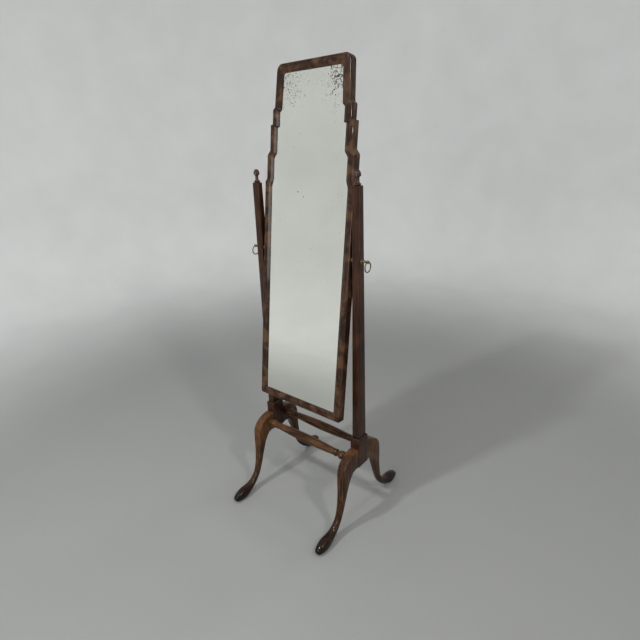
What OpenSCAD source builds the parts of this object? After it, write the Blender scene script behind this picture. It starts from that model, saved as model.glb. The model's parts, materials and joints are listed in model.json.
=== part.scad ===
// Cheval floor mirror: a shouldered looking glass that tilts on two
// ring-headed screws between tapered posts, on cabriole legs.
// Frame: +X to the right, +Y to the back, +Z up, origin on the floor midway
// between the posts. The glass faces -Y.

/* [Posts] */
// Distance between the centre lines of the two posts
post_spacing = 440; // [400:1:530]
// Height of the flat post tops above the floor
post_top = 1267; // [1180:1:1520]
// Width of a post, seen from the front
post_w = 29; // [24:0.5:35]
// Depth of a post where it stands on its block
post_foot_d = 46; // [36:0.5:50]
// Depth of a post at its top
post_top_d = 20; // [18:0.5:34]
// Length of the tenon under a post
post_tenon = 38; // [25:1:42]

/* [Leg blocks] */
// Height of the top of a block above the floor
block_top = 366; // [350:1:420]
// Height of the crown of the arch under a block
arch_z = 243; // [225:1:255]
// Width of a block, seen from the front
block_w = 38; // [36:0.5:46]
// Depth of a block between its two legs
block_d = 59; // [54:0.5:72]
// Bevel round the top of a block
block_bevel = 4; // [1:0.5:4]

/* [Legs] */
// Distance from the middle of the stand to the toe of a leg
leg_reach = 272; // [220:1:320]
// Height of a leg where it meets its block
leg_root_h = 80; // [66:1:90]
// Width of a leg at its knee
leg_w = 36; // [34:0.5:46]
// Diameter of a leg dowel
dowel_d = 10; // [8:0.5:12]
// Length of a leg dowel, half of it in the block
dowel_l = 44; // [30:1:50]

/* [Stretchers] */
// Distance of a stretcher from the middle of its block, front or back
stretcher_y = 53; // [46:0.5:60]
// Height of both stretchers above the floor
stretcher_z = 289; // [280:1:298]
// Diameter at the middle of a stretcher
stretcher_d = 36; // [30:0.5:40]
// Diameter at the thin ends of its swelling
stretcher_end_d = 25; // [20:0.5:28]
// Diameter of the turned ball near each end
ball_d = 34; // [30:0.5:38]
// Diameter of the round tenon at each end
peg_d = 15; // [12:0.5:18]
// Length of the round tenon at each end
peg_l = 20; // [12:0.5:26]

/* [Finials] */
// Height of a finial above its post
finial_h = 46; // [40:0.5:60]
// Diameter of the finial's ball
finial_d = 23; // [18:0.5:26]
// Diameter of the finial's spigot in the post
spigot_d = 8; // [6:0.5:10]
// Length of that spigot
spigot_l = 16; // [10:0.5:22]

/* [Mirror frame] */
// Height of the pivot screws above the floor
pivot_height = 1033; // [1000:1:1080]
// Angle at which the mirror leans back at rest, in degrees
rest_tilt = 7.8; // [0:0.1:12]
// Gap between the mirror frame and a post
side_gap = 8.2; // [5:0.1:9]
// Length of the frame above the pivot screws
frame_up = 613; // [560:1:740]
// Height above the floor of the frame's foot when the mirror hangs upright
frame_foot = 450; // [420:1:550]
// Thickness of the frame from front to back
frame_t = 30.5; // [26:0.5:36]
// Width of the moulding between the outer edge and the glass
face_w = 30; // [29:0.5:38]
// Heights of the four shoulders' middles above the pivot, lowest first
shoulder_v = [243, 334, 426, 477]; // [200:1:520]
// Rises of the four outer shoulders
shoulder_rise = [14, 22, 3, 12]; // [2:1:24]
// Rises of the four shoulders of the sight edge
sight_rise = [34, 25, 3, 11]; // [2:1:40]
// Insets of the four shoulders on each side
shoulder_in = [7.8, 12.8, 9.5, 8.9]; // [6:0.1:14]
// Drop of the sight edge's shoulders below the outer ones
sight_drop = 9; // [4:0.5:12]
// How far each side leans in above the top shoulder
crown_lean = 6; // [0:0.5:10]
// Radius of the two top corners
crown_r = 22; // [16:1:26]
// Radius of the two bottom corners
foot_r = 7; // [2:1:10]
// Radius of the sight edge's top corners
sight_r = 8; // [4:1:12]

/* [Glass and back] */
// Depth from the front of the frame to the face of the glass
glass_set = 7; // [5:0.5:10]
// Thickness of the looking glass
glass_t = 4; // [3:0.5:6]
// Width of the ledge that holds the glass
rebate_w = 8; // [6:0.5:9]
// Gap between the edge of the glass and its rebate
glass_gap = 0.8; // [0.5:0.1:1.5]
// Width of the second ledge, which holds the backboard
back_ledge = 8; // [7:0.5:9]
// Thickness of the backboard
back_t = 5; // [4:0.5:6]
// Gap round the backboard
back_gap = 0.5; // [0.3:0.1:1]
// Length of one glazing block
wedge_l = 40; // [25:1:50]
// Width of one glazing block
wedge_w = 7; // [5:0.5:7]

/* [Swing hardware] */
// Diameter of a pivot screw
screw_d = 8; // [7:0.5:9]
// Running clearance round the pivot screw, on the radius
screw_gap = 0.05; // [0.02:0.01:0.1]
// Diameter of a post bush
bush_d = 13; // [12:0.5:15]
// Diameter of the bush's outer flange
rosette_d = 20; // [18:0.5:24]
// Thickness of the bush's outer flange
rosette_t = 4; // [3:0.5:6]
// Diameter of the spacer collar and the washer
collar_d = 19; // [16:0.5:24]
// Thickness of the leather washer
washer_t = 1.8; // [1:0.1:3]
// Play between the washer and the mirror frame
washer_play = 0.3; // [0.2:0.05:0.5]
// Distance from the post to the eye of a pivot screw
eye_out = 23; // [22:0.5:28]
// Diameter of the eye
eye_d = 12; // [11:0.5:14]
// Thickness of the eye
eye_t = 5; // [4:0.5:6]
// Diameter of the hole in the eye
eye_hole_d = 5.4; // [5.2:0.1:6]
// Outside diameter of a pull ring
ring_d = 37; // [32:0.5:40]
// Diameter of the ring's wire
ring_wire = 4; // [3:0.1:4]
// Length of a pivot plate along the stile
plate_l = 64; // [54:1:80]
// Width of a pivot plate
plate_w = 19; // [18:0.5:22]
// Thickness of a pivot plate
plate_t = 3; // [2:0.5:4]
// Depth of the plate's threaded boss behind its face
boss_l = 13; // [9:0.5:14]

/* [Hidden] */
$fn = 64;
EPS = 0.01;         // overlap that keeps a joined shape whole
CUT = 1;            // how far a cut runs past what it cuts
CURVE_SPANS = 6;    // spans along one shoulder or corner
LEG_SPANS = 4;      // spans between two leg stations

WALNUT = [0.34, 0.21, 0.14];
DARK_WALNUT = [0.20, 0.12, 0.09];
BRASS = [0.60, 0.50, 0.28];
BEECH = [0.72, 0.56, 0.38];

post_x = post_spacing / 2;
post_in = post_x - post_w / 2;
post_out = post_x + post_w / 2;
tenon_w = post_w * 0.5;
tenon_d = post_foot_d * 0.6;

leg_in = post_x - leg_w / 2;
leg_run = leg_reach - block_d / 2;
leg_root_z = arch_z + leg_root_h / 2;
dowel_rise = leg_root_h / 2 - dowel_d * 1.9;

ball_at = ball_d * 0.7;                 // from the leg to the ball's centre
bead_at = ball_at + ball_d * 0.76;      // from the leg to the bead's centre
neck_d = stretcher_end_d * 0.75;

frame_half = post_in - side_gap;
frame_down = pivot_height - frame_foot;
crown_half = frame_half - shoulder_in * [1, 1, 1, 1] - crown_lean;
glass_front = frame_t / 2 - glass_set;
glass_back = glass_front - glass_t;
board_front = back_t - frame_t / 2;
rebate_inset = face_w - rebate_w;
ledge_inset = rebate_inset - back_ledge;

eye_x = post_out + eye_out;
ring_r = (ring_d - ring_wire) / 2;
bore_d = screw_d + 2 * screw_gap;
boss_d = screw_d + 6;
stop_d = rosette_d * 0.7;
stop_t = 3;
tip_gap = 2;                            // from the screw's end to its boss's end
eye_bite = 1.2;                         // how deep the shank runs into the eye
plate_screw_v = plate_l / 2 - 9;
PLATE_SCREW = [4, 12];                  // diameter and length
BACK_SCREW = [3, 13];                   // diameter and length
TONGUE = [10, 18, 4];                   // along the mitre, across it, thick
tongue_in = 12.5;                       // tongue centre from the outer edges
sight_foot_r = 1;                       // radius of the sight edge's bottom corners
heel_t = 2;                             // thickness of a glazing block's thin edge
board_play = 1;                         // from a glazing block to the backboard
side_count = 4;                         // screws and blocks along the plain part of a side

// Stations of a leg from its block to its toe. Each gives the share of the
// outward run, the share of the root's height, the thickness as a share of the
// root's, the width as a share of the knee's, and the roundness of the corners.
LEG_STATIONS = [
    [0.000, 1.000, 1.00, 1.00, 0.30],
    [0.120, 0.992, 0.96, 1.00, 0.30],
    [0.228, 0.930, 0.88, 1.00, 0.35],
    [0.290, 0.800, 0.60, 0.98, 0.45],
    [0.322, 0.670, 0.45, 0.92, 0.55],
    [0.357, 0.530, 0.37, 0.84, 0.70],
    [0.398, 0.389, 0.32, 0.76, 0.85],
    [0.455, 0.265, 0.29, 0.71, 0.90],
    [0.545, 0.170, 0.32, 0.76, 0.90],
    [0.663, 0.110, 0.43, 0.90, 0.90],
    [0.791, 0.079, 0.57, 1.00, 0.85],
    [0.895, 0.066, 0.49, 0.93, 0.85],
    [0.972, 0.054, 0.31, 0.68, 0.90],
    [1.000, 0.048, 0.09, 0.22, 0.90]];

// ------------------------------------------------------------ helpers

// Draws its children as they are on the right, or mirrored to the left
module on_side(side) {
    if (side > 0) children();
    else mirror([1, 0, 0]) children();
}

// Round bar along +X from x0 to x1
module bar_x(x0, x1, y, z, d) {
    translate([x0, y, z]) rotate([0, 90, 0]) cylinder(d = d, h = x1 - x0);
}

// Countersunk wood screw that runs along +Z from its head's face at z = 0
module wood_screw(size) {
    head_h = size[0] / 2;
    cylinder(d1 = 2 * size[0], d2 = size[0], h = head_h);
    translate([0, 0, head_h - EPS]) cylinder(d = size[0], h = size[1] - head_h + EPS);
}

// The mirror's own frame: X across, Y up along the glass, Z out of its face
module on_mirror() {
    translate([0, 0, pivot_height]) rotate([90 - rest_tilt, 0, 0]) children();
}

// A slab of a 2D shape between two depths of the mirror's own frame
module slab(w0, w1) {
    translate([0, 0, w0]) linear_extrude(w1 - w0) children();
}

// ------------------------------------------------------------ posts and blocks

module post(side) {
    color(WALNUT) on_side(side) difference() {
        union() {
            translate([post_in, 0, 0]) rotate([90, 0, 90]) linear_extrude(post_w) polygon([
                [-post_foot_d / 2, block_top], [post_foot_d / 2, block_top],
                [post_top_d / 2, post_top], [-post_top_d / 2, post_top]]);
            tenon();
        }
        bar_x(post_in - CUT, post_out + CUT, 0, pivot_height, bush_d);
        translate([post_x, 0, post_top - spigot_l]) cylinder(d = spigot_d, h = spigot_l + CUT);
    }
}

module tenon() {
    translate([post_x - tenon_w / 2, -tenon_d / 2, block_top - post_tenon])
        cube([tenon_w, tenon_d, post_tenon + EPS]);
}

// Upright outline of a block of width w, with the top bevel
module block_outline(w) {
    polygon([[-w / 2, arch_z], [w / 2, arch_z], [w / 2, block_top - block_bevel],
        [w / 2 - block_bevel, block_top], [block_bevel - w / 2, block_top],
        [-w / 2, block_top - block_bevel]]);
}

module block(side) {
    color(WALNUT) on_side(side) difference() {
        intersection() {
            translate([post_x, block_d / 2, 0]) rotate([90, 0, 0])
                linear_extrude(block_d) block_outline(block_w);
            translate([post_x - block_w / 2, 0, 0]) rotate([90, 0, 90])
                linear_extrude(block_w) block_outline(block_d);
        }
        tenon();
        dowels();
    }
}

// The four dowels that join one block to its two legs
module dowels() {
    for (end = [0, 180], z = [-dowel_rise, dowel_rise])
        translate([post_x, 0, leg_root_z + z]) rotate([-90, 0, end])
            translate([0, 0, (block_d - dowel_l) / 2]) cylinder(d = dowel_d, h = dowel_l);
}

// ------------------------------------------------------------ legs

// A point of the smooth curve through four rows, at share t between b and c
function smooth(a, b, c, d, t) =
    0.5 * (2 * b + (c - a) * t + (2 * a - 5 * b + 4 * c - d) * t * t
        + (3 * b - a - 3 * c + d) * t * t * t);

// Station k, with one extra before the root so that the leg leaves it squarely
function station(k) = k < 0
    ? let(r = LEG_STATIONS[1]) [-r[0], r[1], r[2], r[3], r[4]]
    : LEG_STATIONS[min(k, len(LEG_STATIONS) - 1)];

function leg_row(u) = let(k = min(floor(u), len(LEG_STATIONS) - 2))
    smooth(station(k - 1), station(k), station(k + 1), station(k + 2), u - k);

// Outward distance and height of a row of the leg
function leg_spot(row) = [block_d / 2 + leg_run * row[0], leg_root_z * row[1]];

// The rounded rectangle of a row, as steps across and along the row's normal
function leg_section(row) =
    let(w = leg_w * row[3] / 2, t = leg_root_h * row[2] / 2, r = row[4] * min(w, t))
    [for (q = [0:3], i = [0:4]) let(a = 90 * q + 22.5 * i)
        [(w - r) * (q == 0 || q == 3 ? 1 : -1) + r * cos(a),
         (t - r) * (q < 2 ? 1 : -1) + r * sin(a)]];

// One ring of a leg, square to the leg's own line
function leg_ring(u) =
    let(row = leg_row(u), at = leg_spot(row),
        run = u == 0 ? [1, 0] : leg_spot(leg_row(u + 0.01)) - leg_spot(leg_row(u - 0.01)),
        n = [-run[1], run[0]] / norm(run))
    [for (p = leg_section(row)) [post_x + p[0], at[0] + n[0] * p[1], at[1] + n[1] * p[1]]];

module leg_solid() {
    sides = 20;
    last = (len(LEG_STATIONS) - 1) * LEG_SPANS;
    points = [for (i = [0:last], p = leg_ring(min(i / LEG_SPANS, len(LEG_STATIONS) - 1.001))) p];
    walls = [for (i = [0:last - 1], j = [0:sides - 1])
        let(a = i * sides + j, b = i * sides + (j + 1) % sides)
        each [[a, b, b + sides], [a, b + sides, a + sides]]];
    polyhedron(points, concat(walls, [[for (j = [sides - 1:-1:0]) j]],
        [[for (j = [0:sides - 1]) last * sides + j]]));
}

module leg(side, front) {
    color(WALNUT) on_side(side) mirror([0, front ? 1 : 0, 0]) difference() {
        leg_solid();
        translate([post_x - leg_w, 0, -leg_w]) cube([2 * leg_w, leg_reach + CUT, leg_w]);
        dowels();
        bar_x(leg_in - CUT, leg_in + peg_l, stretcher_y, stretcher_z, peg_d);
    }
}

// ------------------------------------------------------------ stretchers

// Turned rail: its half from the leg to the middle, mirrored
module stretcher_half() {
    half = leg_in;
    swell = [for (i = [0:12]) let(t = i / 12)
        [(stretcher_end_d + (stretcher_d - stretcher_end_d) * sin(90 * t)) / 2,
         half - bead_at - (half - bead_at) * t]];
    rotate([0, 90, 0]) rotate_extrude() intersection() {
        union() {
            polygon(concat([[0, half - bead_at]], swell, [[0, 0]]));
            translate([0, half - bead_at]) square([neck_d / 2, bead_at]);
            translate([0, half - ball_at]) circle(d = ball_d);
            translate([neck_d / 2, half - bead_at]) circle(d = stretcher_end_d - neck_d + 4);
            translate([0, half - 5]) square([stretcher_end_d / 2, 5]);
            translate([0, half - EPS]) square([peg_d / 2, peg_l + EPS]);
        }
        square([ball_d, half + peg_l]);
    }
}

module stretcher(y) {
    color(WALNUT) translate([0, y, stretcher_z]) {
        stretcher_half();
        mirror([1, 0, 0]) stretcher_half();
    }
}

// ------------------------------------------------------------ finials

module finial(side) {
    head_r = finial_d / 2;
    neck_r = head_r * 0.48;
    base_h = finial_h * 0.16;
    neck_h = finial_h * 0.39;
    rim_h = finial_h * 0.60;
    base = [for (a = [-60:30:60]) [head_r * (0.8 + 0.2 * cos(a)), base_h * (0.6 + 0.4 * sin(a))]];
    cove = [for (a = [15:15:90])
        [head_r * 0.9 - (head_r * 0.9 - neck_r) * sin(a), base_h + (neck_h - base_h) * (1 - cos(a))]];
    cup = [for (a = [15:15:90])
        [head_r - (head_r - neck_r) * cos(a), neck_h + (rim_h - neck_h) * sin(a)]];
    dome = [for (a = [15:15:90]) [head_r * cos(a), rim_h + (finial_h - rim_h) * sin(a)]];
    color(DARK_WALNUT) translate([side * post_x, 0, post_top]) rotate_extrude() polygon(concat(
        [[0, -spigot_l], [spigot_d / 2, -spigot_l], [spigot_d / 2, 0], [head_r * 0.75, 0]],
        base, cove, cup, dome));
}

// ------------------------------------------------------------ swing hardware

module bush(side) {
    color(BRASS) on_side(side) difference() {
        union() {
            bar_x(post_in, post_out + EPS, 0, pivot_height, bush_d);
            bar_x(post_out, post_out + rosette_t, 0, pivot_height, rosette_d);
        }
        bar_x(post_in - CUT, post_out + rosette_t + CUT, 0, pivot_height, bore_d);
    }
}

// A flat ring round the pivot screw, from x0 to x1
module washer_ring(x0, x1) {
    difference() {
        bar_x(x0, x1, 0, pivot_height, collar_d);
        bar_x(x0 - 1, x1 + 1, 0, pivot_height, bore_d);
    }
}

module spacer(side) {
    color(BRASS) on_side(side) washer_ring(frame_half + washer_play + washer_t, post_in);
}

module washer(side) {
    x0 = frame_half + washer_play;
    color([0.16, 0.09, 0.07]) on_side(side) washer_ring(x0, x0 + washer_t);
}

module pivot_screw(side) {
    stop_x = post_out + rosette_t + washer_play;
    color(BRASS) on_side(side) difference() {
        union() {
            bar_x(frame_half - boss_l + tip_gap, eye_x - eye_d / 2 + eye_bite, 0, pivot_height,
                screw_d);
            bar_x(stop_x, stop_x + stop_t, 0, pivot_height, stop_d);
            translate([eye_x, eye_t / 2, pivot_height]) rotate([90, 0, 0])
                cylinder(d = eye_d, h = eye_t);
        }
        translate([eye_x, eye_t, pivot_height]) rotate([90, 0, 0])
            cylinder(d = eye_hole_d, h = 2 * eye_t);
    }
}

// Pull ring that hangs in the eye of its screw
module pull_ring(side) {
    color(BRASS) translate([side * eye_x, 0, pivot_height - ring_r]) rotate([0, 90, 0])
        rotate_extrude() translate([ring_r, 0]) circle(d = ring_wire);
}

// Plate and boss in the mirror's own frame, without the bore
module plate_body() {
    translate([frame_half - plate_t, -plate_l / 2, -plate_w / 2])
        cube([plate_t, plate_l, plate_w]);
    bar_x(frame_half - boss_l, frame_half - plate_t + EPS, 0, 0, boss_d);
}

module plate_screws() {
    for (v = [-plate_screw_v, plate_screw_v])
        translate([frame_half, v, 0]) rotate([0, -90, 0]) wood_screw(PLATE_SCREW);
}

module pivot_plate(side) {
    color(BRASS) on_side(side) on_mirror() difference() {
        plate_body();
        bar_x(frame_half - boss_l - CUT, frame_half + CUT, 0, 0, bore_d);
        plate_screws();
    }
}

module plate_screw_pair(side) {
    color(BRASS) on_side(side) on_mirror() plate_screws();
}

// ------------------------------------------------------------ mirror frame

// Half-width above k shoulders, inset from the outer edge
function half_at(k, inset) = frame_half - inset
    - (k > 0 ? [for (i = [0:k - 1]) shoulder_in[i]] * [for (i = [0:k - 1]) 1] : 0);

// Lowest height of shoulder k on an outline that lies drop lower
function shoulder_foot(k, drop, rises) = shoulder_v[k] - drop - rises[k] / 2;

// Quarter circle about x, v, from angle a0
function corner(x, v, r, a0) = [for (i = [0:CURVE_SPANS])
    let(a = a0 + 90 * i / CURVE_SPANS) [x + r * cos(a), v + r * sin(a)]];

// Upright outline of the frame, inset all round, from the bottom up
function outline(inset, drop, rises, top_r, bottom_r) =
    let(top = frame_up - inset, bottom = inset - frame_down,
        right = concat(
            corner(half_at(0, inset) - bottom_r, bottom + bottom_r, bottom_r, -90),
            [for (k = [0:3], i = [0:CURVE_SPANS]) let(t = i / CURVE_SPANS)
                [half_at(k, inset) - shoulder_in[k] * (1 - cos(180 * t)) / 2,
                 shoulder_foot(k, drop, rises) + rises[k] * t]],
            corner(crown_half - inset - top_r, top - top_r, top_r, 0)))
    concat(right, [for (i = [len(right) - 1:-1:0]) [-right[i][0], right[i][1]]]);

module outer_edge() {
    polygon(outline(0, 0, shoulder_rise, crown_r, foot_r));
}

// The sight edge, or a line parallel to it behind the moulding
module sight_line(inset) {
    polygon(outline(inset, sight_drop, sight_rise, sight_r, sight_foot_r));
}

// Sector of the frame that the mitres leave to the bottom rail or the top rail
module rail_sector(half, edge, up) {
    reach = face_w + 6;
    polygon([[-half, edge], [half, edge], [half - reach, edge - up * reach],
        [reach - half, edge - up * reach]]);
}

module bottom_sector() {
    rail_sector(frame_half, -frame_down, -1);
}

module top_sector() {
    rail_sector(crown_half, frame_up, 1);
}

// Loose tongues across the four mitres
module tongues() {
    for (side = [-1, 1], end = [[frame_half, -frame_down, 1], [crown_half, frame_up, -1]])
        translate([side * (end[0] - tongue_in), end[1] + end[2] * tongue_in, 0])
            rotate([0, 0, -side * end[2] * 45]) cube(TONGUE, center = true);
}

// Heights, one per screw, of what holds the back and the glass on a side
function side_spots() =
    let(foot = face_w - frame_down, head = shoulder_foot(0, sight_drop, sight_rise),
        upper = (shoulder_v[1] + sight_rise[1] / 2 + shoulder_v[2]) / 2 - sight_drop)
    concat([for (i = [0:side_count - 1]) [0, foot + (head - foot) * (i + 0.5) / side_count]],
        [[2, upper]]);

module back_screws() {
    inset = rebate_inset - back_ledge / 2;
    side_points = [for (s = side_spots()) [half_at(s[0], inset), s[1]]];
    end_points = [[crown_half * 0.45, frame_up - inset], [frame_half * 0.5, inset - frame_down]];
    for (side = [-1, 1], p = concat(side_points, end_points))
        translate([side * p[0], p[1], -frame_t / 2]) wood_screw(BACK_SCREW);
}

// One member of the frame: its sector, less all that is let into it
module member() {
    color(WALNUT) on_mirror() difference() {
        slab(-frame_t / 2, frame_t / 2) difference() {
            intersection() {
                outer_edge();
                children();
            }
            sight_line(face_w);
        }
        slab(-frame_t / 2 - CUT, glass_front) sight_line(rebate_inset);
        slab(-frame_t / 2 - CUT, board_front) sight_line(ledge_inset);
        tongues();
        back_screws();
        for (side = [-1, 1]) on_side(side) {
            plate_body();
            plate_screws();
        }
    }
}

module stile(side) {
    member() on_side(side) difference() {
        translate([0, -frame_down - CUT])
            square([frame_half + CUT, frame_down + frame_up + 2 * CUT]);
        bottom_sector();
        top_sector();
    }
}

// ------------------------------------------------------------ glass and back

module looking_glass() {
    color([0.75, 0.80, 0.78]) on_mirror()
        slab(glass_back, glass_front) sight_line(rebate_inset + glass_gap);
}

module backboard() {
    color(BEECH) on_mirror() difference() {
        slab(-frame_t / 2, board_front) sight_line(ledge_inset + back_gap);
        back_screws();
    }
}

// Three-cornered block in the angle of the glass and a wall that faces -X
module wedge(x, v, turn) {
    translate([x, v, 0]) rotate([0, 0, turn]) translate([0, wedge_l / 2, 0]) rotate([90, 0, 0])
        linear_extrude(wedge_l) polygon([[0, glass_back], [-wedge_w, glass_back],
            [-wedge_w, glass_back - heel_t], [0, board_front + board_play]]);
}

module glazing_blocks() {
    color(BEECH) on_mirror() {
        for (side = [-1, 1], s = side_spots())
            wedge(side * half_at(s[0], rebate_inset), s[1], side > 0 ? 0 : 180);
        for (x = [-0.5, 0.5]) {
            wedge(x * crown_half, frame_up - rebate_inset, 90);
            wedge(x * frame_half, rebate_inset - frame_down, -90);
        }
    }
}

// ------------------------------------------------------------ nodes

post(-1);  // left_post
post(1);  // right_post
block(-1);  // left_block
block(1);  // right_block
leg(-1, true);  // front_left_leg
leg(1, true);  // front_right_leg
leg(-1, false);  // back_left_leg
leg(1, false);  // back_right_leg
color(BEECH) on_side(-1) dowels();  // left_leg_dowels
color(BEECH) on_side(1) dowels();  // right_leg_dowels
stretcher(-stretcher_y);  // front_stretcher
stretcher(stretcher_y);  // back_stretcher
finial(-1);  // left_finial
finial(1);  // right_finial
bush(-1);  // left_bush
bush(1);  // right_bush
spacer(-1);  // left_spacer
spacer(1);  // right_spacer
washer(-1);  // left_washer
washer(1);  // right_washer
pivot_screw(-1);  // left_pivot_screw
pivot_screw(1);  // right_pivot_screw
pull_ring(-1);  // left_ring
pull_ring(1);  // right_ring
pivot_plate(-1);  // left_pivot_plate
pivot_plate(1);  // right_pivot_plate
plate_screw_pair(-1);  // left_plate_screws
plate_screw_pair(1);  // right_plate_screws
stile(-1);  // left_stile
stile(1);  // right_stile
member() top_sector();  // top_rail
member() bottom_sector();  // bottom_rail
color(BEECH) on_mirror() tongues();  // corner_tongues
looking_glass();
glazing_blocks();
backboard();
color(BRASS) on_mirror() back_screws();  // backboard_screws
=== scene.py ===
# %% [markdown]
# # A cheval floor mirror
# A cheval mirror is a tall looking glass that swings between two posts on a footed
# stand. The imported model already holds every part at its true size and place, and
# each part moves with its body: the stand, the mirror, the two pivot screws and the
# two pull rings. This lesson makes the surfaces that a cabinet maker and a polisher
# would leave behind: tapered posts, carved legs, turned rails, a stepped moulding,
# a foxed glass and aged brass. The pieces go exactly where the frame says.

# %% Load the frame
import json
import math

import bmesh
import bpy
from mathutils import Matrix, Vector


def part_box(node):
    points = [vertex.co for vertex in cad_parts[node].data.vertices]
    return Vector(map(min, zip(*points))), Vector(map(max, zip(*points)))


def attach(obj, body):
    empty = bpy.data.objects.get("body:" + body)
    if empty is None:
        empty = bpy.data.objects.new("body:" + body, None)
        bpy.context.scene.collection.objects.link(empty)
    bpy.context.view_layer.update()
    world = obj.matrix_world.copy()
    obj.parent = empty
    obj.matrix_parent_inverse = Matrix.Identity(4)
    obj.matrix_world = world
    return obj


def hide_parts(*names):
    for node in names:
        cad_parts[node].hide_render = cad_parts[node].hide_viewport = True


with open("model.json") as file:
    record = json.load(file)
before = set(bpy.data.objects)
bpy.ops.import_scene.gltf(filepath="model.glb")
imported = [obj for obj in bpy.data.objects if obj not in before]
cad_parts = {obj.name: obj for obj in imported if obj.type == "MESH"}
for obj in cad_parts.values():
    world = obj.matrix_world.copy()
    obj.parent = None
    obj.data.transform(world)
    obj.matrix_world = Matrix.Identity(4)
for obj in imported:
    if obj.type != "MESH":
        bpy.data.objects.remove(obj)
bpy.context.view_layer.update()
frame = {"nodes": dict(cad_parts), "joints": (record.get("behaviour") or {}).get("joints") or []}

# %% [markdown]
# ## Camera, floor and light
# The camera stands in front of the mirror and to its right, above the pivots, and
# looks down and across it. The floor is a plain pale sheet whose edge curves up into a
# round wall, as in a studio's cove, so that the looking glass has something plain
# to show. The light is a plain sky over the cove, with three panels: one to the right,
# one high in front and a broad one low in front. They leave crisp lights on the polish,
# and stand where the looking glass doesn't show them. One more behind lifts the edges,
# and another brightens the wall that the looking glass shows. Polish doesn't reflect
# those two, so they leave no glints.

# %% Camera
MM = 0.001
CAMERA_PLACE = Vector((1.0422, -1.1895, 1.3879))
CAMERA_YAW = math.radians(39.81)
CAMERA_PITCH = math.radians(21.05)
CAMERA_ROLL = math.radians(-2.17)
LENS = 25.67 * MM


def add_camera():
    """A camera at its place, turned by its yaw, then tipped, then rolled."""
    lens = bpy.data.cameras.new("camera")
    lens.lens = LENS / MM
    lens.sensor_width = 36.0
    camera = bpy.data.objects.new("camera", lens)
    turn = Matrix.Rotation(CAMERA_YAW, 4, "Z")
    tip = Matrix.Rotation(math.pi / 2 - CAMERA_PITCH, 4, "X")
    roll = Matrix.Rotation(CAMERA_ROLL, 4, "Z")
    camera.matrix_world = Matrix.Translation(CAMERA_PLACE) @ turn @ tip @ roll
    bpy.context.scene.collection.objects.link(camera)
    bpy.context.scene.camera = camera
    return camera


camera = add_camera()
print("camera", round(CAMERA_PLACE.length, 3), "m from the middle of the floor")

# %% [markdown]
# ### Materials as small recipes
# Every finish below is a few nodes. `add` makes one node and wires it, `ramp` turns
# a grey value into colours, `mix` lays one colour over another, `noise` makes clouds,
# `wander` bends them and `emboss` raises them, so that a finish reads as a short recipe.

# %% Node helpers
def add(finish, kind, inputs=None, **settings):
    """A shader node with its settings, and its inputs set or linked."""
    made = finish.node_tree.nodes.new("ShaderNode" + kind)
    for key, value in settings.items():
        setattr(made, key, value)
    for socket, value in (inputs or {}).items():
        if isinstance(value, bpy.types.NodeSocket):
            finish.node_tree.links.new(value, made.inputs[socket])
        else:
            made.inputs[socket].default_value = value
    return made


def ramp(finish, value, stops):
    """Colours, or greys, along a value from 0 to 1."""
    made = add(finish, "ValToRGB", {"Fac": value})
    band = made.color_ramp
    while len(band.elements) < len(stops):
        band.elements.new(0.5)
    for element, (place, colour) in zip(band.elements, stops):
        element.position = place
        element.color = (colour,) * 3 + (1,) if isinstance(colour, float) else (*colour, 1)
    return made.outputs["Color"]


def mix(finish, amount, under, over, way="MIX"):
    """One colour laid over another by an amount."""
    under = under if isinstance(under, bpy.types.NodeSocket) else (*under, 1)
    over = over if isinstance(over, bpy.types.NodeSocket) else (*over, 1)
    made = add(finish, "MixRGB", {"Fac": amount, "Color1": under, "Color2": over}, blend_type=way)
    return made.outputs["Color"]


def sums(finish, way, first, second=0.0, third=0.0):
    """A sum on grey values, such as MULTIPLY or SMOOTHSTEP."""
    made = add(finish, "Math", {0: first, 1: second, 2: third}, operation=way)
    return made.outputs["Value"]


def new_finish(name):
    """An empty material and its shader."""
    finish = bpy.data.materials.new(name)
    finish.use_nodes = True
    shader = finish.node_tree.nodes["Principled BSDF"]
    return finish, shader


def wire(finish, source, shader, socket):
    finish.node_tree.links.new(source, shader.inputs[socket])


def noise(finish, place, scale, detail, **more):
    """Grey clouds, finer with the scale and rougher with the detail."""
    sockets = {"Vector": place, "Scale": scale, "Detail": detail, **more}
    return add(finish, "TexNoise", sockets).outputs["Fac"]


def wander(finish, place, scale, detail, amount):
    """The place moved about by noise, so that lines and cells aren't straight."""
    drift = add(finish, "TexNoise", {"Vector": place, "Scale": scale, "Detail": detail})
    moved = add(finish, "VectorMath", {0: drift.outputs["Color"], 1: (amount,) * 3, 2: place},
                operation="MULTIPLY_ADD")
    return moved.outputs["Vector"]


def emboss(finish, shader, height, strength, depth):
    """Lets a grey value stand up as fine relief."""
    made = add(finish, "Bump", {"Height": height, "Strength": strength, "Distance": depth})
    wire(finish, made.outputs["Normal"], shader, "Normal")


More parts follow.
